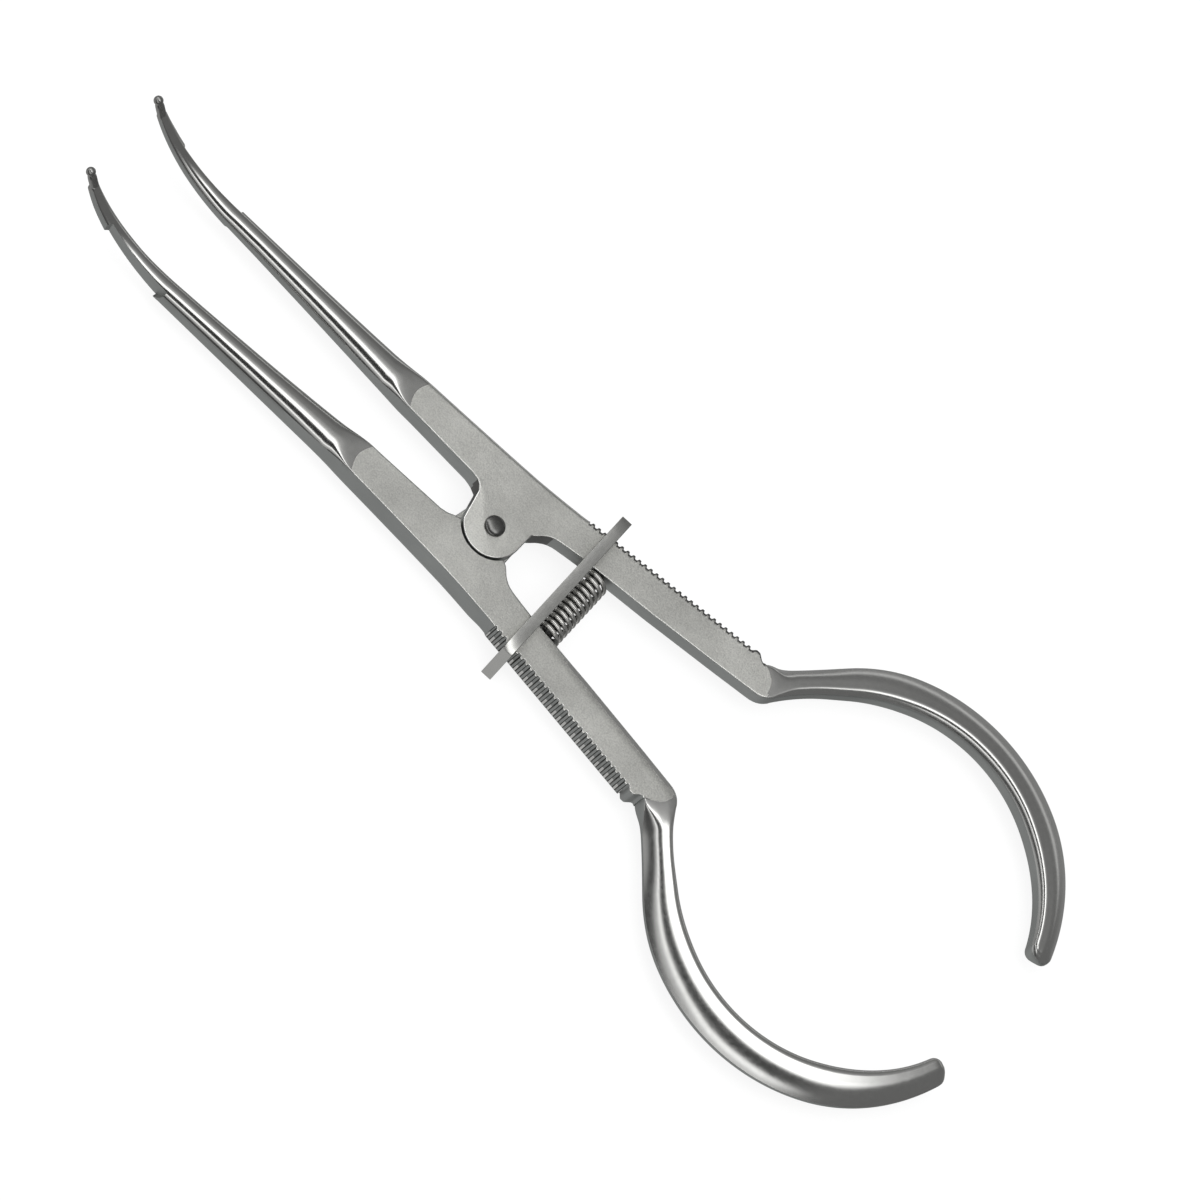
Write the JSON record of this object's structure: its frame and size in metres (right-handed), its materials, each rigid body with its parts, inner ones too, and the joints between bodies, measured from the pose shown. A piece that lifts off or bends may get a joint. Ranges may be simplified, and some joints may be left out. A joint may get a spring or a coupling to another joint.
{
  "type": "sprung clamp forceps",
  "caption": "Sprung steel clamp forceps: crossed arms on a rivet, coil spring, toothed handles with a sliding lock ring, open finger hooks and upturned pegged jaws.",
  "frame": {"origin": "on the pivot axis, at the rivet's flat lower end, level with the lugs' flat underside", "axes": "+X toward the jaw tips, +Y toward the left arm, +Z along the pivot toward the rivet head; the jaws turn up toward +Z"},
  "size_m": [0.1728, 0.0658, 0.0152],
  "materials": {
    "arm_steel": "satin, bead blasted",
    "rivet_steel": "polished",
    "spring_wire": "bright drawn wire",
    "peg_steel": "turned",
    "ring_steel": "satin"
  },
  "bodies": {
    "pivot": {"pivot_rivet": "rivet_steel", "spring": "spring_wire"},
    "right_arm": {"arm_right": "arm_steel", "spring_peg_right": "peg_steel"},
    "left_arm": {"arm_left": "arm_steel", "spring_peg_left": "peg_steel"},
    "ring": {"lock_ring": "ring_steel"}
  },
  "joints": [
    {"name": "squeeze_right", "type": "hinge", "parent": "pivot", "child": "right_arm", "pos_m": [0, 0, 0], "axis": [0, 0, -1], "range_deg": [0, 6], "stiffness_Nm_per_rad": 1.15, "springref_deg": -1.15, "deforming": ["spring"]},
    {"name": "squeeze_left", "type": "hinge", "parent": "pivot", "child": "left_arm", "pos_m": [0, 0, 0], "axis": [0, 0, 1], "range_deg": [0, 6], "stiffness_Nm_per_rad": 1.15, "springref_deg": -1.15},
    {"name": "ring_slide", "type": "slide", "parent": "pivot", "child": "ring", "axis": [-1, 0, 0], "range_m": [0, 0.0127]}
  ],
  "couplings": [
    {"joint": "squeeze_left", "follows": "squeeze_right", "ratio": 1},
    {"joint": "ring_slide", "follows": "squeeze_right", "m_per_rad": 0.12}
  ]
}
